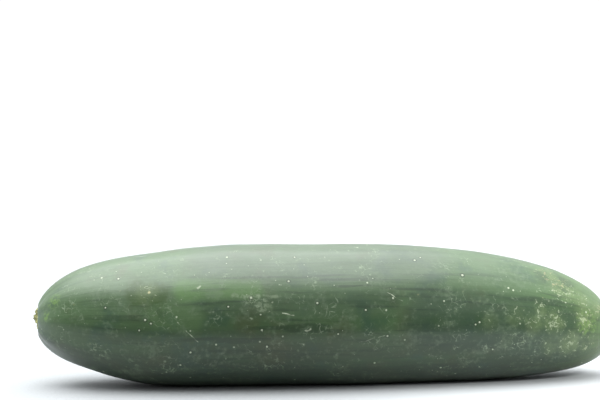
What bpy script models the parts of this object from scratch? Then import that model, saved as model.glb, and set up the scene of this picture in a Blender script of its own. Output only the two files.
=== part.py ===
"""A slicing cucumber, grown as one piece and lying on its belly.

Metres, +Z up. The fruit lies along X, with its stem end at -X and its blossom end at +X, and its middle bows
gently towards -Y. The origin is the centre of its outline seen from above, on the surface that it lies on.
"""
import math

import bmesh
import bpy
from mathutils import Vector

# The body. Each end tapers from the fullest place to its tip.
BODY_LENGTH = 0.2345         # tip to tip along X
DIAMETER = 0.0567            # at the fullest place
STEM_TAPER = 0.0865          # from the stem tip to the fullest place
STEM_FULLNESS = 2.55         # exponents of the stem end's outline: a larger one keeps the width for longer,
STEM_BLUNTNESS = 2.25        # and this one makes the tip blunter
BLOSSOM_FULLNESS = 3.3
BLOSSOM_BLUNTNESS = 2.75

# How the body's axis runs
BOW = 0.0064                 # how far the tips stand back from the middle, along +Y
STEM_DROP = 0.0013           # how far the stem tip's centre lies below the body's axis
STEM_DROP_POWER = 6.0
BLOSSOM_DROP = 0.0085        # the same at the blossom tip, whose belly stays low while its back slopes down
BLOSSOM_DROP_POWER = 3.0
BELLY_REACH = 0.046          # from the fullest place towards the stem, how far the belly stays down; past it
BELLY_LIFT_POWER = 4.0       # the underside rises, which leaves a faint neck

# The cross-section, and the patch that the skin flattens to under the fruit's weight
LOBES = 3                    # the fruit has three seed chambers
LOBE_HEIGHT = 0.0003         # how far each lobe stands out of the round
LOBE_TURN = math.radians(30)
REST_DEPTH = 0.0004          # height of the belly that is pressed flat

# The scar where the stem came off: a round rim, a shallow groove and a corky stub
SCAR_RADIUS = 0.0062
SCAR_GROOVE_DEPTH = 0.0006
SCAR_GROOVE_WIDTH = 0.0009
STUB_HEIGHT = 0.0018         # above the rim
STUB_SLOPE = 0.0012          # how much narrower the stub is at its top
STUB_RISE = 0.0005           # the stub sits this far above the middle of the rim

# The dimple where the flower came off
DIMPLE_RADIUS = 0.0030
DIMPLE_DEPTH = 0.0005

SECTORS = 36
STEM_STATIONS = 20
BLOSSOM_STATIONS = 28

SKIN_COLOUR = (0.045, 0.095, 0.040, 1.0)
SKIN_ROUGHNESS = 0.38

RADIUS = DIAMETER / 2
BLOSSOM_TAPER = BODY_LENGTH - STEM_TAPER


def clear_scene():
    for thing in list(bpy.data.objects):
        bpy.data.objects.remove(thing, do_unlink=True)


def outline(reach, fullness, bluntness):
    """The body's radius at reach, which is 0 at the fullest place and 1 at a tip."""
    return RADIUS * (1 - reach**fullness) ** (1 / bluntness)


def reach_of(radius, fullness, bluntness):
    """The reach at which the outline has this radius."""
    return (1 - (radius / RADIUS) ** bluntness) ** (1 / fullness)


def radius_at(x):
    """The body's radius at x, where the fullest place is x = 0."""
    if x > 0:
        return outline(x / BLOSSOM_TAPER, BLOSSOM_FULLNESS, BLOSSOM_BLUNTNESS)
    return outline(-x / STEM_TAPER, STEM_FULLNESS, STEM_BLUNTNESS)


def centre(x):
    """The middle of the section at x."""
    middle = (BLOSSOM_TAPER - STEM_TAPER) / 2
    y = BOW * ((x - middle) / (BODY_LENGTH / 2)) ** 2
    if x > 0:
        drop = BLOSSOM_DROP * (x / BLOSSOM_TAPER) ** BLOSSOM_DROP_POWER
    else:
        room_below = RADIUS - radius_at(x)
        drop = room_below * math.exp(-((-x / BELLY_REACH) ** BELLY_LIFT_POWER))
        drop += STEM_DROP * (-x / STEM_TAPER) ** STEM_DROP_POWER
    return Vector((x, y, RADIUS - drop))


def add_ring(bm, middle, radius, lobe=0.0):
    """A ring of vertices around middle, square to X. It runs round from +Y towards +Z."""
    ring = []
    for i in range(SECTORS):
        angle = 2 * math.pi * i / SECTORS
        r = radius + lobe * math.cos(LOBES * (angle + LOBE_TURN))
        ring.append(bm.verts.new(middle + Vector((0, r * math.cos(angle), r * math.sin(angle)))))
    return ring


def add_body_rings(bm):
    """Rings from the stem scar's rim to the dimple's rim, closer together towards the tips."""
    stem_rim = math.acos(reach_of(SCAR_RADIUS, STEM_FULLNESS, STEM_BLUNTNESS))
    blossom_rim = math.acos(reach_of(DIMPLE_RADIUS, BLOSSOM_FULLNESS, BLOSSOM_BLUNTNESS))
    places = []
    for i in range(STEM_STATIONS):
        places.append(-STEM_TAPER * math.cos(stem_rim + (math.pi / 2 - stem_rim) * i / STEM_STATIONS))
    for i in range(BLOSSOM_STATIONS + 1):
        places.append(BLOSSOM_TAPER * math.sin((math.pi / 2 - blossom_rim) * i / BLOSSOM_STATIONS))
    rings = []
    for x in places:
        radius = radius_at(x)
        rings.append(add_ring(bm, centre(x), radius, LOBE_HEIGHT * radius / RADIUS))
    return rings


def add_scar_rings(bm):
    """Rings from the stub's top back to the rim of the scar."""
    rim = centre(-STEM_TAPER * reach_of(SCAR_RADIUS, STEM_FULLNESS, STEM_BLUNTNESS))
    stub = rim + Vector((0, 0, STUB_RISE))
    groove = Vector((SCAR_GROOVE_DEPTH, 0, 0))
    stub_radius = SCAR_RADIUS - SCAR_GROOVE_WIDTH - STUB_RISE
    return [
        add_ring(bm, stub - Vector((STUB_HEIGHT, 0, 0)), stub_radius - STUB_SLOPE),
        add_ring(bm, stub + groove, stub_radius),
    ]


def add_dimple_ring(bm):
    """The floor of the dimple at the blossom end."""
    rim = centre(BLOSSOM_TAPER * reach_of(DIMPLE_RADIUS, BLOSSOM_FULLNESS, BLOSSOM_BLUNTNESS))
    return add_ring(bm, rim - Vector((DIMPLE_DEPTH, 0, 0)), DIMPLE_RADIUS / 2)


def skin_between(bm, rings):
    for near, far in zip(rings, rings[1:]):
        for i in range(SECTORS):
            j = (i + 1) % SECTORS
            bm.faces.new((near[i], near[j], far[j], far[i]))


def press_belly_flat(bm):
    """Cuts the belly off level and closes it with a flat patch, which then lies at z = 0."""
    level = min(v.co.z for v in bm.verts) + REST_DEPTH
    cut = bmesh.ops.bisect_plane(
        bm, geom=bm.verts[:] + bm.edges[:] + bm.faces[:], dist=1e-6,
        plane_co=(0, 0, level), plane_no=(0, 0, -1), use_snap_center=True, clear_outer=True,
    )
    edges = [e for e in cut["geom_cut"] if isinstance(e, bmesh.types.BMEdge) and e.is_boundary]
    bmesh.ops.holes_fill(bm, edges=edges, sides=0)
    bmesh.ops.translate(bm, vec=(0, 0, -level), verts=bm.verts)


def centre_on_origin(bm):
    for axis in (0, 1):
        places = [v.co[axis] for v in bm.verts]
        shift = Vector((0, 0, 0))
        shift[axis] = -(min(places) + max(places)) / 2
        bmesh.ops.translate(bm, vec=shift, verts=bm.verts)


def skin_material():
    material = bpy.data.materials.new("cucumber_skin")
    material.use_nodes = True
    shader = material.node_tree.nodes["Principled BSDF"]
    shader.inputs["Base Color"].default_value = SKIN_COLOUR
    shader.inputs["Roughness"].default_value = SKIN_ROUGHNESS
    shader.inputs["Metallic"].default_value = 0.0
    return material


def add_cucumber():
    bm = bmesh.new()
    rings = add_scar_rings(bm) + add_body_rings(bm) + [add_dimple_ring(bm)]
    skin_between(bm, rings)
    bm.faces.new(reversed(rings[0]))
    bm.faces.new(rings[-1])
    press_belly_flat(bm)
    centre_on_origin(bm)
    bmesh.ops.recalc_face_normals(bm, faces=bm.faces)
    mesh = bpy.data.meshes.new("cucumber")
    bm.to_mesh(mesh)
    bm.free()
    mesh.shade_smooth()
    mesh.set_sharp_from_angle(angle=math.radians(35))
    mesh.materials.append(skin_material())
    cucumber = bpy.data.objects.new("cucumber", mesh)
    bpy.context.scene.collection.objects.link(cucumber)
    return cucumber


clear_scene()
add_cucumber()
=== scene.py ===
"""Looks for a slicing cucumber: the fruit's modelled skin, its peel and cork, and a plain white studio."""
import math
from types import SimpleNamespace

import bpy
import numpy as np
from mathutils import Matrix, Vector, noise


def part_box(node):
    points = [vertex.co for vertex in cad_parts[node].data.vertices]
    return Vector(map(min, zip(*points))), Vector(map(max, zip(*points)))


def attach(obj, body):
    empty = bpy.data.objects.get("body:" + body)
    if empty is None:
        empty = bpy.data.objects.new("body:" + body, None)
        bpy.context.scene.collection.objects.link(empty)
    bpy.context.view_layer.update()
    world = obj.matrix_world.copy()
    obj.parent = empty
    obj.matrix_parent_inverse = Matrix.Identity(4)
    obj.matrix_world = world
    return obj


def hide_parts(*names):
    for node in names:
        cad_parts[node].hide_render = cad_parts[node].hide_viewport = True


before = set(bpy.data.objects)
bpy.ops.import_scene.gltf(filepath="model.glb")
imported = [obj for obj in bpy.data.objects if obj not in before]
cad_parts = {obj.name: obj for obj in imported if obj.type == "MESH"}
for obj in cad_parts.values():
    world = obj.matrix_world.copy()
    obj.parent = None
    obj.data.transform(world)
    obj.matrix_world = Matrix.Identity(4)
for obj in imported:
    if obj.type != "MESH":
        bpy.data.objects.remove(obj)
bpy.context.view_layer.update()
LOW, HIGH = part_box("cucumber")

MM = 0.001

# The fruit's outline, as the frame has it
PRESSED = 0.4 * MM                            # height of the belly that is pressed flat
RADIUS = (HIGH.z - LOW.z + PRESSED) / 2
STEM_TAPER = 86.5 * MM                        # stem tip to the fullest place
SCAR_RADIUS = 6.2 * MM
STUB_HEIGHT = 1.8 * MM
STUB_RISE = 1.1 * MM                          # the stub's middle sits this far above the middle of its rim
GROOVE_DEPTH = 0.5 * MM
DIMPLE_RADIUS = 3.0 * MM                      # where the flower came off
DIMPLE_DEPTH = 0.5 * MM
STEM_FULLNESS, STEM_BLUNTNESS = 2.55, 2.25    # how long each end keeps its width, and how blunt its tip is
BLOSSOM_FULLNESS, BLOSSOM_BLUNTNESS = 3.3, 2.75
BOW = 6.4 * MM                                # how far the tips stand back from the middle
STEM_DROP, STEM_DROP_POWER = 1.3 * MM, 6.0    # how far each tip's middle lies below the body's axis
BLOSSOM_DROP, BLOSSOM_DROP_POWER = 8.5 * MM, 3.0
BELLY_REACH, BELLY_LIFT_POWER = 46 * MM, 4.0  # how far towards the stem the belly stays down

# How finely the skin is meshed
SECTORS = 230
BODY_RINGS = 372
STEM_END_SHARE = 0.40                         # of the body's rings
SCAR_RINGS = 26
DIMPLE_RINGS = 10


# ---------------------------------------------------------------- shape

def stem_reach(radius):
    """Where the stem end has this radius, as a share of the way from the fullest place to its tip."""
    return (1 - (radius / RADIUS) ** STEM_BLUNTNESS) ** (1 / STEM_FULLNESS)


def blossom_reach(radius):
    """The same for the blossom end."""
    return (1 - (radius / RADIUS) ** BLOSSOM_BLUNTNESS) ** (1 / BLOSSOM_FULLNESS)


FULLEST = LOW.x + STUB_HEIGHT + STEM_TAPER * stem_reach(SCAR_RADIUS)   # x of the fullest place
BLOSSOM_TAPER = (HIGH.x - FULLEST) / blossom_reach(DIMPLE_RADIUS)
STEM_TIP = FULLEST - STEM_TAPER
BODY_LENGTH = STEM_TAPER + BLOSSOM_TAPER


def radius_at(x):
    """The plain radius of the body at x."""
    if x > FULLEST:
        reach = (x - FULLEST) / BLOSSOM_TAPER
        return RADIUS * (1 - reach**BLOSSOM_FULLNESS) ** (1 / BLOSSOM_BLUNTNESS)
    reach = (FULLEST - x) / STEM_TAPER
    return RADIUS * (1 - reach**STEM_FULLNESS) ** (1 / STEM_BLUNTNESS)


def centre_at(x):
    """The middle of the section at x."""
    middle = STEM_TIP + BODY_LENGTH / 2
    y = BOW * ((x - middle) / (BODY_LENGTH / 2)) ** 2
    if x > FULLEST:
        drop = BLOSSOM_DROP * ((x - FULLEST) / BLOSSOM_TAPER) ** BLOSSOM_DROP_POWER
    else:
        room_below = RADIUS - radius_at(x)
        drop = room_below * math.exp(-(((FULLEST - x) / BELLY_REACH) ** BELLY_LIFT_POWER))
        drop += STEM_DROP * ((FULLEST - x) / STEM_TAPER) ** STEM_DROP_POWER
    return Vector((x, y, RADIUS - drop))


def soft_step(low, high, value):
    """0 up to low and 1 from high on, with a smooth rise between them."""
    t = min(max((value - low) / (high - low), 0.0), 1.0)
    return t * t * (3 - 2 * t)


def roughly(place, size, seed):
    """Smooth noise from about -1 to 1 at a place, whose lumps are about size across."""
    return noise.noise(place / size + Vector((seed * 7.13, seed * 3.71, seed * 5.37)))


def skin_height(base, angle, from_stem):
    """How far the living skin stands off the plain outline, at an angle from the front up over the top."""
    from_blossom = BODY_LENGTH - from_stem
    body = soft_step(0, 25 * MM, from_stem) * soft_step(0, 20 * MM, from_blossom)    # 1 away from both tips
    wander = 0.5 * roughly(base, 60 * MM, 3)
    chambers = 0.35 * MM * math.cos(3 * (angle + 0.6)) * body    # the three seed chambers show through
    dents = 0.55 * MM * roughly(base, 38 * MM, 1) + 0.16 * MM * roughly(base, 13 * MM, 2)
    ribs = 0.10 * MM * math.cos(10 * angle + 4 * wander) * (0.4 + body)
    pores = 0.035 * MM * roughly(base, 3.2 * MM, 4)
    pucker = 0.30 * MM * math.cos(9 * angle + 3 * wander) * math.exp(-((from_stem / (9 * MM)) ** 2))
    gather = 0.22 * MM * math.cos(7 * angle + 5 * wander) * math.exp(-((from_blossom / (13 * MM)) ** 2))
    return chambers + dents * (0.25 + 0.75 * body) + ribs + pores + pucker + gather


def body_places():
    """Where the body's rings lie along X, from scar to dimple, closer together towards the tips."""
    first = math.acos(stem_reach(SCAR_RADIUS))
    last = math.asin(blossom_reach(DIMPLE_RADIUS))
    stem_arc, blossom_arc = math.pi / 2 - first, last
    stem_rings = round(BODY_RINGS * STEM_END_SHARE)
    blossom_rings = BODY_RINGS - stem_rings
    places = [FULLEST - STEM_TAPER * math.cos(first + stem_arc * i / stem_rings) for i in range(stem_rings)]
    places += [FULLEST + BLOSSOM_TAPER * math.sin(blossom_arc * i / (blossom_rings - 1))
               for i in range(blossom_rings)]
    return places


def scar_rings(rim):
    """Rings from the middle of the stub to the rim of the stem scar: place on X, radius and cork there."""
    rings = []
    for i in range(SCAR_RINGS):
        t = (i + 0.15) / SCAR_RINGS
        radius = SCAR_RADIUS * t
        stub = 1 - soft_step(-0.15, 0.82, t)
        groove = math.exp(-(((t - 0.86) / 0.07) ** 2))
        x = rim - STUB_HEIGHT * stub + GROOVE_DEPTH * groove
        rings.append((x, radius, 1 - soft_step(0.88, 1.0, t)))
    return rings


def dimple_rings(rim):
    """Rings from the dimple's rim to its middle: place on X, radius and cork there."""
    rings = []
    for i in range(1, DIMPLE_RINGS + 1):
        t = 1 - (i - 0.2) / DIMPLE_RINGS
        rings.append((rim - DIMPLE_DEPTH * (1 - t * t), DIMPLE_RADIUS * t, 1 - soft_step(0.7, 1.1, t)))
    return rings


def fruit_rings():
    """Every ring from the stub to the dimple: its middle, its radius, and its stem cork and blossom cork."""
    places = body_places()
    stem_rim, blossom_rim = centre_at(places[0]), centre_at(places[-1])
    rings = []
    for x, radius, cork in scar_rings(places[0]):
        lift = STUB_RISE * (1 - soft_step(0.55, 1.0, radius / SCAR_RADIUS))
        rings.append((Vector((x, stem_rim.y, stem_rim.z + lift)), radius, cork, 0.0))
    for x in places:
        rings.append((centre_at(x), radius_at(x), 0.0, 0.0))
    for x, radius, cork in dimple_rings(places[-1]):
        rings.append((Vector((x, blossom_rim.y, blossom_rim.z)), radius, 0.0, cork))
    return rings


def fruit_vertices(rings):
    """The skin's vertices ring by ring, with each one's place on the unrolled skin and how corky it is."""
    points, unrolled, stem_cork, blossom_cork = [], [], [], []
    along_skin = 0.0
    for i, (middle, radius, stem, blossom) in enumerate(rings):
        if i:
            before, radius_before = rings[i - 1][:2]
            along_skin += math.hypot(middle.x - before.x, radius - radius_before)
        from_stem = min(max(middle.x - STEM_TIP, 0.0), BODY_LENGTH)
        share = min(radius / SCAR_RADIUS, 1.0)    # the skin's relief fades out towards the middle of each end
        for j in range(SECTORS):
            angle = 2 * math.pi * j / SECTORS
            way = Vector((0, -math.cos(angle), math.sin(angle)))
            base = middle + way * radius
            point = base + way * skin_height(base, angle, from_stem) * share
            if stem > 0:    # the stub's lumpy cork
                crumbs = roughly(base, 1.3 * MM, 5) + 0.6 * roughly(base, 0.6 * MM, 6)
                point.x -= 0.85 * MM * stem * crumbs
                point += way * (0.35 * MM * stem * roughly(base, 1.1 * MM, 7) * share)
            if blossom > 0:    # the flower scar's finer cork
                point.x += 0.25 * MM * blossom * roughly(base, 1.0 * MM, 8)
            points.append(point)
            unrolled.append((RADIUS * math.cos(angle), RADIUS * math.sin(angle), along_skin))
            stem_cork.append(stem)
            blossom_cork.append(blossom)
    return points, unrolled, stem_cork, blossom_cork


def settle(points):
    """Centres the fruit on the frame's outline, presses its belly flat, and gives back how far it moved."""
    moved = Vector((0, 0, -min(p.z for p in points) - PRESSED))
    moved.y = (LOW.y + HIGH.y) / 2 - (min(p.y for p in points) + max(p.y for p in points)) / 2
    softness = 0.12 * MM    # rounds the edge of the flat
    for p in points:
        p.y += moved.y
        above = p.z + moved.z
        p.z = (above + math.hypot(above, softness)) / 2
    return moved


def fruit_faces(ring_count):
    """Quads between neighbouring rings, and one cap at each end."""
    faces = []
    for i in range(ring_count - 1):
        for j in range(SECTORS):
            k = (j + 1) % SECTORS
            a, b = i * SECTORS, (i + 1) * SECTORS
            faces.append((a + j, b + j, b + k, a + k))
    last = (ring_count - 1) * SECTORS
    faces.append(tuple(range(SECTORS)))
    faces.append(tuple(last + j for j in reversed(range(SECTORS))))
    return faces


def add_values(mesh, name, kind, values):
    """Stores a value for each vertex, for the peel to read."""
    layer = mesh.attributes.new(name, kind, "POINT")
    field = "vector" if kind == "FLOAT_VECTOR" else "value"
    layer.data.foreach_set(field, np.asarray(values, dtype=np.float32).ravel())


def add_bake_map(mesh, unrolled):
    """A flat layout of the skin: round the fruit across, from stem to blossom upwards, with a thin margin."""
    margin, used = 0.003, 0.994
    full = max(u[2] for u in unrolled)
    layout = mesh.uv_layers.new(name="OFBake")
    for face in mesh.polygons:
        sectors = [mesh.loops[i].vertex_index % SECTORS for i in face.loop_indices]
        wraps = len(sectors) == 4 and max(sectors) - min(sectors) > 1
        for i, sector in zip(face.loop_indices, sectors):
            across = SECTORS if wraps and sector == 0 else sector
            up = unrolled[mesh.loops[i].vertex_index][2] / full
            layout.data[i].uv = (margin + used * across / SECTORS, margin + used * up)


def make_fruit():
    """The fruit, and how far it moved as it settled."""
    rings = fruit_rings()
    points, unrolled, stem_cork, blossom_cork = fruit_vertices(rings)
    moved = settle(points)
    mesh = bpy.data.meshes.new("cucumber_fruit")
    mesh.from_pydata([tuple(p) for p in points], [], fruit_faces(len(rings)))
    mesh.update()
    add_values(mesh, "unrolled_skin", "FLOAT_VECTOR", unrolled)
    add_values(mesh, "stem_cork", "FLOAT", stem_cork)
    add_values(mesh, "blossom_cork", "FLOAT", blossom_cork)
    add_bake_map(mesh, unrolled)
    mesh.shade_smooth()
    fruit = bpy.data.objects.new("cucumber_fruit", mesh)
    bpy.context.scene.collection.objects.link(fruit)
    return fruit, moved


def on_skin(along_mm, degrees):
    """A place on the skin before the fruit settles: mm from the stem tip, and degrees up from the front."""
    x = STEM_TIP + along_mm * MM
    angle = math.radians(degrees)
    way = Vector((0, -math.cos(angle), math.sin(angle)))
    base = centre_at(x) + way * radius_at(x)
    return base + way * skin_height(base, angle, along_mm * MM)


# ---------------------------------------------------------------- materials

def colour(hex_code):
    """An sRGB hex colour as linear values for a shader."""
    parts = [int(hex_code[i:i + 2], 16) / 255 for i in (1, 3, 5)]
    return tuple(p / 12.92 if p <= 0.04045 else ((p + 0.055) / 1.055) ** 2.4 for p in parts) + (1.0,)


def per_mm(size_mm):
    """The scale of a texture whose cells are size_mm across, on coordinates in metres."""
    return 1000.0 / size_mm


def put(tree, kind, *feeds, out=0, **settings):
    """Adds a shader node and gives back one of its outputs.

    A feed is a value, or an output to link, for the next input, or a dict of them by name or number.
    """
    made = tree.nodes.new("ShaderNode" + kind)
    for name, value in settings.items():
        setattr(made, name, value)
    sockets = {}
    for i, feed in enumerate(feeds):
        sockets.update(feed if isinstance(feed, dict) else {i: feed})
    for socket, value in sockets.items():
        if isinstance(value, bpy.types.NodeSocket):
            tree.links.new(value, made.inputs[socket])
        else:
            made.inputs[socket].default_value = value
    return made.outputs[out]


def combine(tree, operation, values):
    """Several values brought together two by two: MULTIPLY gives their product, MAXIMUM the largest."""
    total = values[0]
    for value in values[1:]:
        total = put(tree, "Math", total, value, operation=operation)
    return total


def lay_colours(tree, under, layers):
    """Lays colours over one another.

    A layer is a hex code or a colour already made, a pattern, the two values of the pattern between which the
    colour comes in, and how much of it shows at most.
    """
    for over, pattern, low, high, most in layers:
        if isinstance(over, str):
            over = colour(over)
        amount = put(tree, "MapRange", pattern, low, high, 0.0, most, interpolation_type="SMOOTHSTEP")
        # A Mix node's colours are its inputs 6 and 7 and its output 2
        under = put(tree, "Mix", {0: amount, 6: under, 7: over}, out=2, data_type="RGBA")
    return under


# Marks on the peel lie at so many mm from the stem tip and so many degrees up from the front.

# Scratches healed to pale cork: start, end and width in mm
SCRATCHES = (
    ((57.2, 4), (61.2, -4.5), 0.34),
    ((61.2, -4.5), (65.2, -13), 0.34),
    ((128.5, -15), (138.5, -10), 0.30),
    ((139.8, 25), (146.4, 18), 0.36),
    ((98.4, 9), (102.7, 7), 0.44),
    ((107.0, -5), (109.2, -4), 0.48),
    ((209.8, 33), (213.3, 30), 0.34),
    ((65.2, 31.8), (66.4, 33.2), 0.70),
    ((40.0, 128), (47.0, 140), 0.40),
    ((120.0, 165), (127.0, 158), 0.40),
    ((160.0, 200), (166.0, 214), 0.36),
    ((196.0, 118), (207.0, 124), 0.36),
    ((86.0, 244), (93.0, 236), 0.36),
)

# Large cream spine scars: place and radius in mm
SPINE_SCARS = (
    (104, 62, 0.50), (152, 59, 0.60), (154.5, 63, 0.45), (170.7, 45, 0.70), (28.8, 18, 0.50),
    (44.4, 7, 0.60), (46.6, 4, 0.55), (42.0, -2, 0.50), (112, 17, 0.60), (131, 11, 0.55), (90, -4, 0.60),
    (77, 15, 0.50), (92, -18, 0.60), (139.5, -10, 0.55), (176.5, 2, 0.55), (174.9, 0, 0.50),
    (34, 48, 0.60), (86, 22, 0.70), (101, 36, 0.60), (62, -22, 0.60), (58, -34, 0.55), (120, -8, 0.50),
    (120, 150, 0.60), (60, 120, 0.55), (185, 140, 0.65), (90, 190, 0.55), (140, 205, 0.60),
)

# Patches of russet: place, radius in mm and how thick it lies
RUSSETS = (
    (207, 64, 12, 0.9), (213, 50, 13, 0.95), (219, 40, 12, 0.8), (203, 18, 9, 0.8), (208, 6, 11, 1.0),
    (221, 14, 12, 1.0), (228, 34, 9, 0.9), (206, -21, 10, 0.8), (214, -18, 12, 0.95), (222, -21, 10, 0.8),
    (192, 10, 11, 0.75), (199, 4, 11, 0.8), (180, 3, 10, 0.65), (188, -12, 10, 0.5), (160, 0, 7, 0.5),
    (50, 13, 6, 0.6), (54, -10, 5, 0.4), (86, 20, 5, 0.5), (93, 15, 6, 0.5), (45, 31, 10, 0.8),
    (66, 96, 5, 0.5), (216, 130, 11, 1.0), (224, 205, 10, 1.0), (60, 170, 7, 0.6), (219, 275, 9, 0.9),
    (150, 118, 6, 0.5), (110, 214, 7, 0.6), (222, 88, 8, 0.9),
)

# Where webs of cork gather: place and radius in mm
WEBS = (
    (50, 10, 10), (54, -34, 8), (88, 20, 8), (88, -55, 6), (117, 12, 6), (132, -12, 6), (168, 20, 7),
    (192, -16, 10), (62, 160, 9), (130, 200, 8), (175, 128, 8), (95, 262, 8),
)

WOBBLE = 2.0 * MM    # how far the edge of a ragged mark wanders


def start_peel(tree, moved):
    """The coordinates and patterns that the peel's layers share.

    The finest ones, the wisps, flecks and crumbs, are drawn about twice as coarse as they grow, so that they
    show.
    """
    peel = SimpleNamespace(tree=tree, moved=moved)
    peel.place = put(tree, "TexCoord", out="Object")
    peel.from_stem = put(tree, "Math", put(tree, "SeparateXYZ", peel.place, out="X"), STEM_TIP,
                         operation="SUBTRACT")
    peel.stem_cork = put(tree, "Attribute", out="Fac", attribute_name="stem_cork")
    peel.blossom_cork = put(tree, "Attribute", out="Fac", attribute_name="blossom_cork")
    skin = put(tree, "Attribute", out="Vector", attribute_name="unrolled_skin")
    # 1 on the upper front, where the light falls, and -1 on the lower back, in shade; the rind is painted
    # lighter towards 1 and darker towards -1, as painted light and shade
    peel.lit_side = put(tree, "VectorMath", skin, (0.42 / RADIUS, 0.91 / RADIUS, 0.0), out="Value",
                        operation="DOT_PRODUCT")

    drawn_out = put(tree, "VectorMath", skin, (1.0, 1.0, 0.07), operation="MULTIPLY")
    longish = put(tree, "VectorMath", skin, (1.0, 1.0, 0.35), operation="MULTIPLY")
    for name, lie, size_mm, detail, roughness, distortion in (
        ("streaks", drawn_out, 5.0, 3.0, 0.60, 0.0),          # lengthwise, lighter and darker
        ("fine_streaks", drawn_out, 2.4, 3.0, 0.55, 0.0),     # narrow dark ones between them
        ("clouds", longish, 22.0, 3.0, 0.50, 0.0),            # broad lighter and darker places
        ("wisps", longish, 1.5, 4.0, 0.60, 0.8),              # loose ends of cork
        ("hues", peel.place, 17.0, 4.0, 0.60, 0.0),           # olive one way and blue-green the other
        ("patches", peel.place, 9.0, 4.0, 0.65, 0.0),         # where specks, haze and russet lie closer
        ("thickets", peel.place, 7.0, 3.0, 0.65, 0.0),        # where webs of cork grow
        ("flecks", peel.place, 1.7, 3.0, 0.60, 0.0),          # dapples of wax
        ("crumbs", peel.place, 1.6, 3.0, 0.62, 0.8),          # grains of russet
    ):
        look = {"Scale": per_mm(size_mm), "Detail": detail, "Roughness": roughness, "Distortion": distortion}
        setattr(peel, name, put(tree, "TexNoise", lie, look))
    # Thin cork is broken up, and thick cork only worn
    peel.broken = put(tree, "MapRange", peel.flecks, 0.36, 0.60)
    peel.worn = put(tree, "MapRange", peel.flecks, 0.30, 0.56, 0.25, 1.0)
    peel.haze = put(tree, "Math", peel.flecks, {1: 0.6, 2: peel.patches}, operation="MULTIPLY_ADD")

    wander = put(tree, "TexNoise", peel.place, {"Scale": per_mm(4.0), "Detail": 3.0}, out="Color")
    peel.wobbled = put(tree, "VectorMath", wander, {1: (WOBBLE, WOBBLE, WOBBLE), 2: peel.place},
                       operation="MULTIPLY_ADD")
    return peel


def mark_coordinates(peel, ragged):
    """The coordinates that a mark is drawn on, and what to add to its place on the skin to find it there.

    Those for a ragged mark wander, and so does its edge.
    """
    if ragged:
        mean_wobble = WOBBLE / 2
        return peel.wobbled, peel.moved + Vector((mean_wobble, mean_wobble, mean_wobble))
    return peel.place, peel.moved


def near(peel, centre, core_mm, reach_mm, ragged=True):
    """1 within core_mm of a place on the skin, falling softly to 0 at reach_mm."""
    tree = peel.tree
    place, moved = mark_coordinates(peel, ragged)
    gap = put(tree, "VectorMath", place, tuple(centre + moved), out="Value", operation="DISTANCE")
    return put(tree, "MapRange", gap, core_mm * MM, reach_mm * MM, 1.0, 0.0, interpolation_type="SMOOTHSTEP")


def near_line(peel, start, end, core_mm, reach_mm, ragged=True):
    """The same around the line between two places."""
    tree = peel.tree
    place, moved = mark_coordinates(peel, ragged)
    run = end - start
    from_start = put(tree, "VectorMath", place, tuple(start + moved), operation="SUBTRACT")
    share = put(tree, "VectorMath", from_start, tuple(run / run.length_squared), out="Value",
                operation="DOT_PRODUCT")
    held = put(tree, "Clamp", share)
    nearest = put(tree, "VectorMath", tuple(run), {"Scale": held}, operation="SCALE")
    gap = put(tree, "VectorMath", from_start, nearest, out="Value", operation="DISTANCE")
    return put(tree, "MapRange", gap, core_mm * MM, reach_mm * MM, 1.0, 0.0, interpolation_type="SMOOTHSTEP")


def spine_scars(peel):
    """Cream specks, where the young fruit's spines broke off, and the dark rings round the large ones."""
    tree = peel.tree
    small = []
    # How far apart they lie, their core and their reach as shares of that, and how pale they are
    for apart_mm, core, reach, most in ((6.6, 0.040, 0.085, 1.0), (4.0, 0.030, 0.080, 0.75)):
        cells = put(tree, "TexVoronoi", peel.place, {"Scale": per_mm(apart_mm)})
        small.append(put(tree, "MapRange", cells, core, reach, most, 0.0, interpolation_type="SMOOTHSTEP"))
    crowded = put(tree, "MapRange", peel.patches, 0.40, 0.60, 0.15, 1.0)
    small = combine(tree, "MULTIPLY", [combine(tree, "MAXIMUM", small), crowded])
    large, rings = [], []
    for along_mm, degrees, radius_mm in SPINE_SCARS:
        centre = on_skin(along_mm, degrees)
        large.append(near(peel, centre, 0.35 * radius_mm, 0.9 * radius_mm, ragged=False))
        rings.append(near(peel, centre, 0.8 * radius_mm, 2.2 * radius_mm, ragged=False))
    return combine(tree, "MAXIMUM", [small, *large]), combine(tree, "MAXIMUM", rings)


def healed_scratches(peel):
    """Thin lines of pale cork, worn away in places."""
    paleness = 0.62
    lines = []
    for start, end, width_mm in SCRATCHES:
        lines.append(near_line(peel, on_skin(*start), on_skin(*end), 0.1 * width_mm, width_mm))
    return combine(peel.tree, "MULTIPLY", [combine(peel.tree, "MAXIMUM", lines), peel.worn, paleness])


def cork_webs(peel):
    """Hair-thin nets and wisps of cork, in scattered thickets."""
    tree = peel.tree
    edges = put(tree, "TexVoronoi", peel.wobbled, {"Scale": per_mm(2.3)}, feature="DISTANCE_TO_EDGE")
    net = put(tree, "MapRange", edges, 0.0, 0.085, 0.8, 0.0)
    net = combine(tree, "MULTIPLY", [net, peel.broken])
    wisps = put(tree, "MapRange", peel.wisps, 0.60, 0.74, interpolation_type="SMOOTHSTEP")
    thickets = [put(tree, "MapRange", peel.thickets, 0.50, 0.66)]
    for along_mm, degrees, radius_mm in WEBS:
        thickets.append(near(peel, on_skin(along_mm, degrees), 0.1 * radius_mm, radius_mm))
    threads = combine(tree, "MAXIMUM", [net, wisps])
    return combine(tree, "MULTIPLY", [threads, combine(tree, "MAXIMUM", thickets)])


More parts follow.
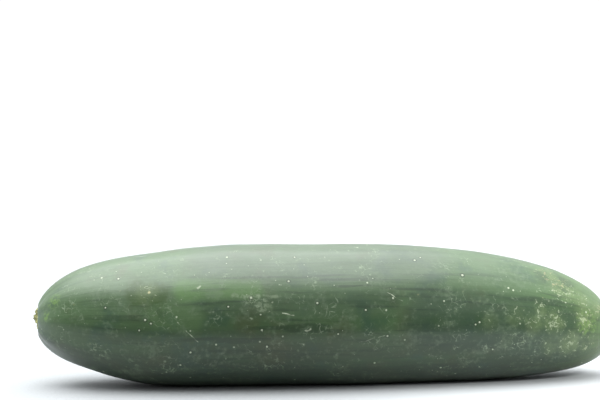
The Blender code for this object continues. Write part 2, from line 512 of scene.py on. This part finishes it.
def russet(peel):
    """Rough, scaly cork: where it lies, and its single flakes."""
    tree = peel.tree
    grown = []
    for along_mm, degrees, radius_mm, thick in RUSSETS:
        patch = near(peel, on_skin(along_mm, degrees), 0.1 * radius_mm, radius_mm)
        grown.append(combine(tree, "MULTIPLY", [patch, thick]))
    grown = combine(tree, "MAXIMUM", grown)
    flakes = put(tree, "Math", grown, {1: 0.22, 2: peel.crumbs}, operation="MULTIPLY_ADD")
    return grown, put(tree, "MapRange", flakes, 0.715, 0.85, interpolation_type="SMOOTHSTEP")


def green_rind(peel):
    """Streaked green rind, yellower at the blossom end; painted light above, painted shade and reflection
    below.
    """
    tree = peel.tree
    # The rind's own streaks and clouds, plus painted light: lighter towards the upper front
    tone_and_painted_light = put(tree, "Math", peel.streaks, {1: 1.1, 2: peel.lit_side}, operation="MULTIPLY_ADD")
    tone_and_painted_light = put(tree, "Math", peel.clouds, {1: 0.8, 2: tone_and_painted_light}, operation="MULTIPLY_ADD")
    to_blossom = put(tree, "Math", peel.clouds, {1: -0.10, 2: peel.from_stem}, operation="MULTIPLY_ADD")
    # The rind's own yellower blossom end, shown only on the upper side, which is painted light
    yellower = combine(tree, "MULTIPLY", [
        put(tree, "MapRange", to_blossom, 0.124, 0.178, interpolation_type="SMOOTHSTEP"),
        put(tree, "MapRange", peel.lit_side, -0.2, 0.6)])
    fresh = near_line(peel, on_skin(60, 31), on_skin(86, 29), 1.0, 8.0)
    streaked = combine(tree, "MULTIPLY", [
        put(tree, "MapRange", peel.fine_streaks, 0.51, 0.66, interpolation_type="SMOOTHSTEP"),
        put(tree, "MapRange", peel.from_stem, 0.012, 0.060, 0.3, 1.0),
        put(tree, "MapRange", peel.lit_side, 0.99, 0.85, 0.35, 1.0)])
    dark_band = combine(tree, "MULTIPLY", [
        near_line(peel, on_skin(68, 14), on_skin(140, 15), 1.5, 8.5),
        put(tree, "MapRange", peel.streaks, 0.36, 0.56, 0.35, 1.0)])
    pale_band = near_line(peel, on_skin(50, 11), on_skin(62, 7), 2.0, 9.0)
    # Painted reflection of the floor: greyer on the lower side, short of the blossom tip
    painted_floor_reflection = combine(tree, "MULTIPLY", [
        put(tree, "MapRange", peel.lit_side, 0.10, -0.45),
        put(tree, "MapRange", peel.from_stem, 0.218, 0.180)])
    # Painted shade: darker low on the front of the blossom half
    painted_shade_low_front = near_line(peel, on_skin(158, 3), on_skin(214, -7), 4.0, 19.0, ragged=False)
    return lay_colours(tree, colour("#2e4128"), (
        ("#4b6740", tone_and_painted_light, 0.55, 1.80, 1.0),
        ("#355330", peel.streaks, 0.48, 0.66, 0.50),
        ("#454829", peel.hues, 0.52, 0.70, 0.40),
        ("#28483a", peel.hues, 0.48, 0.32, 0.50),
        ("#4b7034", yellower, 0.0, 1.0, 0.50),
        ("#5c8442", fresh, 0.0, 1.0, 0.60),
        ("#1f331f", streaked, 0.0, 1.0, 0.56),
        ("#1f3820", dark_band, 0.0, 1.0, 0.46),
        ("#587549", pale_band, 0.0, 1.0, 0.45),
        ("#424e48", painted_floor_reflection, 0.0, 1.0, 0.40),
        ("#5c7638", peel.from_stem, 0.200, 0.236, 0.40),
        ("#22352a", painted_shade_low_front, 0.0, 1.0, 0.60),
        # Painted shade on the underside, deepest at the belly
        ("#121a11", peel.lit_side, -0.50, -0.88, 0.75),
    ))


def lay_bloom(peel, green):
    """The wax's own thin haze, and the grey bloom along the top."""
    bloom = near_line(peel, on_skin(75, 62), on_skin(150, 66), 3.0, 26.0, ragged=False)
    return lay_colours(peel.tree, green, (
        ("#73856b", peel.haze, 0.80, 1.05, 0.30),
        ("#647d55", peel.flecks, 0.56, 0.74, 0.22),
        ("#4e5a4c", bloom, 0.0, 1.0, 0.40),
    ))


def lay_blemishes(peel, green):
    """A pale rub, yellow spots near both ends, and a bruise with a sting in it."""
    tree = peel.tree
    rub = combine(tree, "MAXIMUM", [
        near(peel, on_skin(90.5, 15), 0.5, 5.0),
        near_line(peel, on_skin(79, 24), on_skin(97, 23), 0.1, 1.6)])
    yellow = combine(tree, "MAXIMUM", [
        near(peel, on_skin(8, 36), 0.5, 5.0),
        near(peel, on_skin(5, 13), 0.2, 3.2),
        near(peel, on_skin(222, 8), 1.0, 8.0)])
    bruise = combine(tree, "MAXIMUM", [
        near(peel, on_skin(42, 32), 2.0, 8.5),
        near(peel, on_skin(49, 30), 2.0, 7.5)])
    sting = near(peel, on_skin(46.1, 31), 0.2, 0.8, ragged=False)
    return lay_colours(tree, green, (
        ("#8a9b7c", combine(tree, "MULTIPLY", [rub, peel.broken]), 0.0, 1.0, 0.50),
        ("#6f9440", combine(tree, "MULTIPLY", [yellow, peel.broken]), 0.0, 0.9, 0.60),
        ("#35521c", combine(tree, "MULTIPLY", [bruise, peel.worn]), 0.0, 0.7, 0.90),
        ("#d9cf96", sting, 0.0, 1.0, 0.90),
    ))


def lay_russet(peel, green, grown, flakes):
    """Russet skin and its flakes, which are tan at the tip and high up near it, and pale green elsewhere."""
    tree = peel.tree
    tan = combine(tree, "MAXIMUM", [
        put(tree, "MapRange", peel.from_stem, 0.214, 0.232, 0.0, 0.7),
        near(peel, on_skin(209, 66), 3.0, 12.0)])
    flake = lay_colours(tree, colour("#b4c0a0"), [("#b7ab84", tan, 0.0, 1.0, 1.0)])
    hollows = put(tree, "MapRange", peel.patches, 0.50, 0.38)
    return lay_colours(tree, green, (
        ("#6d8150", combine(tree, "MULTIPLY", [grown, peel.patches]), 0.15, 0.65, 0.55),
        ("#304a29", combine(tree, "MULTIPLY", [grown, hollows]), 0.0, 0.8, 0.60),
        (flake, flakes, 0.0, 1.0, 0.50),
    ))


def lay_end_scars(peel, green):
    """The stub's lumpy cork in its olive groove, and the flower scar's tan ring and brown middle."""
    tree = peel.tree
    stub_middle = near(peel, on_skin(0, 0) + Vector((0, 0, MM)), 1.0, 4.6)
    stub = lay_colours(tree, colour("#a9ad66"), (
        ("#4c431f", peel.flecks, 0.44, 0.64, 1.0),
        ("#6f6a3a", stub_middle, 0.0, 1.0, 0.60),
    ))
    blossom = put(tree, "Math", peel.flecks, {1: 0.9, 2: peel.blossom_cork}, operation="MULTIPLY_ADD")
    return lay_colours(tree, green, (
        ("#56582c", peel.stem_cork, 0.0, 0.35, 1.0),
        (stub, peel.stem_cork, 0.35, 0.95, 1.0),
        ("#a3935f", blossom, 0.62, 0.90, 0.80),
        ("#5f5130", blossom, 1.25, 1.50, 0.80),
    ))


def cucumber_peel(moved):
    """Cucumber peel: a dark green rind under a thin natural wax, grown over three seed chambers.

    The wax gives a soft, greyed shine. Under it the green runs in lengthwise streaks, is yellower at the
    blossom end, and carries cream spine scars, healed scratches, faint webs of cork and flakes of russet.
    Light and
    shade are painted into the green too: lighter on the upper front, a painted reflection of the floor on the
    lower side, and painted shade underneath and low on the blossom half.
    """
    material = bpy.data.materials.new("cucumber_peel")
    material.use_nodes = True
    tree = material.node_tree
    shader = tree.nodes["Principled BSDF"]

    peel = start_peel(tree, moved)
    specks, spine_rings = spine_scars(peel)
    cork = combine(tree, "MAXIMUM", [specks, healed_scratches(peel)])
    webs = cork_webs(peel)
    grown, flakes = russet(peel)

    green = lay_bloom(peel, green_rind(peel))
    green = lay_colours(tree, green, (
        ("#1c2b17", spine_rings, 0.0, 1.0, 0.55),
        ("#a5b598", webs, 0.0, 1.0, 0.66),
    ))
    green = lay_blemishes(peel, green)
    green = lay_russet(peel, green, grown, flakes)
    green = lay_colours(tree, green, [("#bfcaae", cork, 0.0, 0.8, 0.92)])
    green = lay_end_scars(peel, green)
    tree.links.new(green, shader.inputs["Base Color"])

    # Wax: smoother where it is whole, duller on cork and webs
    dull = combine(tree, "MAXIMUM", [cork, webs, flakes, peel.stem_cork, peel.blossom_cork])
    rough = put(tree, "MapRange", peel.haze, 0.55, 1.0, 0.41, 0.54)
    rough = put(tree, "Mix", {0: dull, 2: rough, 3: 0.75})    # its plain values are inputs 2 and 3
    tree.links.new(rough, shader.inputs["Roughness"])
    shader.inputs["IOR"].default_value = 1.5
    shader.inputs["Metallic"].default_value = 0.0
    shader.inputs["Coat Weight"].default_value = 0.45
    shader.inputs["Coat Roughness"].default_value = 0.28

    # Relief, as heights in mm
    relief = 0.0
    for pattern, height in ((peel.flecks, 0.05), (peel.streaks, 0.18), (peel.fine_streaks, 0.07),
                            (cork, 0.10), (webs, 0.03), (flakes, 0.06)):
        relief = put(tree, "Math", pattern, {1: height, 2: relief}, operation="MULTIPLY_ADD")
    bump = put(tree, "Bump", {"Height": relief, "Distance": MM, "Strength": 0.8}, out="Normal")
    tree.links.new(bump, shader.inputs["Normal"])
    return material


def white_sweep_paper():
    """White paper sweep: a matte sheet, pressed with a slight tooth, with painted light making it lighter to
    the right.

    The real tooth, about 0.2 mm, is too fine to show, so it is drawn as specks of 1.2 mm.
    """
    material = bpy.data.materials.new("white_sweep_paper")
    material.use_nodes = True
    tree = material.node_tree
    shader = tree.nodes["Principled BSDF"]
    place = put(tree, "TexCoord", out="Object")
    tooth = put(tree, "TexNoise", place, {"Scale": per_mm(1.2), "Detail": 2.0})
    painted_light_to_right = put(tree, "SeparateXYZ", place, out="X")
    paper = lay_colours(tree, colour("#aeb1b2"), (
        ("#b3b6b7", tooth, 0.35, 0.65, 1.0),
        # Painted light: the sheet lighter towards the right
        ("#bec1c2", painted_light_to_right, -0.04, 0.06, 1.0),
    ))
    tree.links.new(paper, shader.inputs["Base Color"])
    shader.inputs["Roughness"].default_value = 0.9
    shader.inputs["Specular IOR Level"].default_value = 0.2
    return material


# ---------------------------------------------------------------- studio

def make_floor():
    """A sheet of paper that runs far back and ends 5 cm in front of the fruit."""
    side, back, front = 6.0, 8.0, -0.08
    mesh = bpy.data.meshes.new("floor")
    corners = [(-side, front, 0), (side, front, 0), (side, back, 0), (-side, back, 0)]
    mesh.from_pydata(corners, [], [(0, 1, 2, 3)])
    floor = bpy.data.objects.new("floor", mesh)
    floor.location.z = LOW.z - 0.02 * MM    # a hair below the fruit, so that the two never share a plane
    bpy.context.scene.collection.objects.link(floor)
    mesh.materials.append(white_sweep_paper())


def make_studio_light():
    """A white room with one wide soft panel overhead, a bright wall at the right and a dim near side."""
    world = bpy.data.worlds.new("white_studio")
    world.use_nodes = True
    tree = world.node_tree
    tree.nodes.clear()
    way = put(tree, "TexCoord", out="Generated")
    x, y, z = (put(tree, "SeparateXYZ", way, out=axis) for axis in "XYZ")
    rise = put(tree, "Math", z, 0.05, operation="MAXIMUM")
    across = put(tree, "Math", x, rise, operation="DIVIDE")
    deep = put(tree, "Math", y, rise, operation="DIVIDE")

    # The panel, level above the fruit, with a soft edge on each side; its width and depth go by its height
    light = 4.5
    for value, dark, bright in ((across, -1.15, -0.60), (across, 0.8, -0.1), (deep, -0.98, -0.27),
                                (deep, 1.05, 0.6), (z, 0.10, 0.20)):
        edge = put(tree, "MapRange", value, dark, bright, interpolation_type="SMOOTHSTEP")
        light = put(tree, "Math", edge, light, operation="MULTIPLY")

    # The room: walls that brighten towards the back, a ceiling, and a bright wall at the right
    for value, dark, bright, least, most in ((y, -0.35, 0.30, 0.06, 0.90), (z, 0.20, 0.65, 0.0, 0.70),
                                             (x, 0.45, 0.85, 0.0, 0.55)):
        surface = put(tree, "MapRange", value, dark, bright, least, most, interpolation_type="SMOOTHSTEP")
        light = put(tree, "Math", light, surface, operation="ADD")
    lit = put(tree, "Background", colour("#fbfdff"), light)
    seen = put(tree, "Background", colour("#ffffff"), 1.05)
    camera_sees = put(tree, "LightPath", out="Is Camera Ray")
    both = put(tree, "MixShader", camera_sees, lit, seen)
    tree.links.new(both, tree.nodes.new("ShaderNodeOutputWorld").inputs["Surface"])
    bpy.context.scene.world = world


def make_fill_lamp():
    """A small soft lamp at the front right, which thins the fruit's shadow there."""
    stand, target = Vector((0.21, -0.20, 0.18)), Vector((0.10, -0.03, 0))
    lamp = bpy.data.lights.new("fill_lamp", "SPOT")
    lamp.energy = 1.7
    lamp.spot_size = math.radians(36)
    lamp.spot_blend = 1.0
    lamp.shadow_soft_size = 0.03
    holder = bpy.data.objects.new("fill_lamp", lamp)
    holder.visible_glossy = False
    holder.location = stand
    holder.rotation_euler = (target - stand).to_track_quat("-Z", "Y").to_euler()
    bpy.context.scene.collection.objects.link(holder)


def make_camera():
    """A long lens, low and a little to the left, aimed above the fruit."""
    turn, lift = math.radians(-4.3), math.radians(7.86)
    distance, roll = 0.9, math.radians(0.5)
    back = Vector((math.sin(turn) * math.cos(lift), -math.cos(turn) * math.cos(lift), math.sin(lift)))
    stand = Vector((0, 0, HIGH.z / 2)) + back * distance
    aim = Vector((-0.0096, 0, 0.0743))
    ahead = (aim - stand).normalized()
    right = ahead.cross(Vector((0, 0, 1))).normalized()
    over = right.cross(ahead)
    tilt = Matrix.Rotation(roll, 3, ahead)
    right, over = tilt @ right, tilt @ over
    camera = bpy.data.objects.new("camera", bpy.data.cameras.new("camera"))
    bpy.context.scene.collection.objects.link(camera)
    camera.data.lens = 133.0
    camera.data.sensor_width = 36.0
    camera.data.clip_end = 50.0
    camera.matrix_world = Matrix.Translation(stand) @ Matrix((right, over, -ahead)).transposed().to_4x4()
    bpy.context.scene.camera = camera


fruit, moved = make_fruit()
fruit.data.materials.append(cucumber_peel(moved))
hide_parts("cucumber")
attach(fruit, "root")
make_floor()
make_studio_light()
make_fill_lamp()
make_camera()
bpy.context.scene.view_settings.view_transform = "Standard"
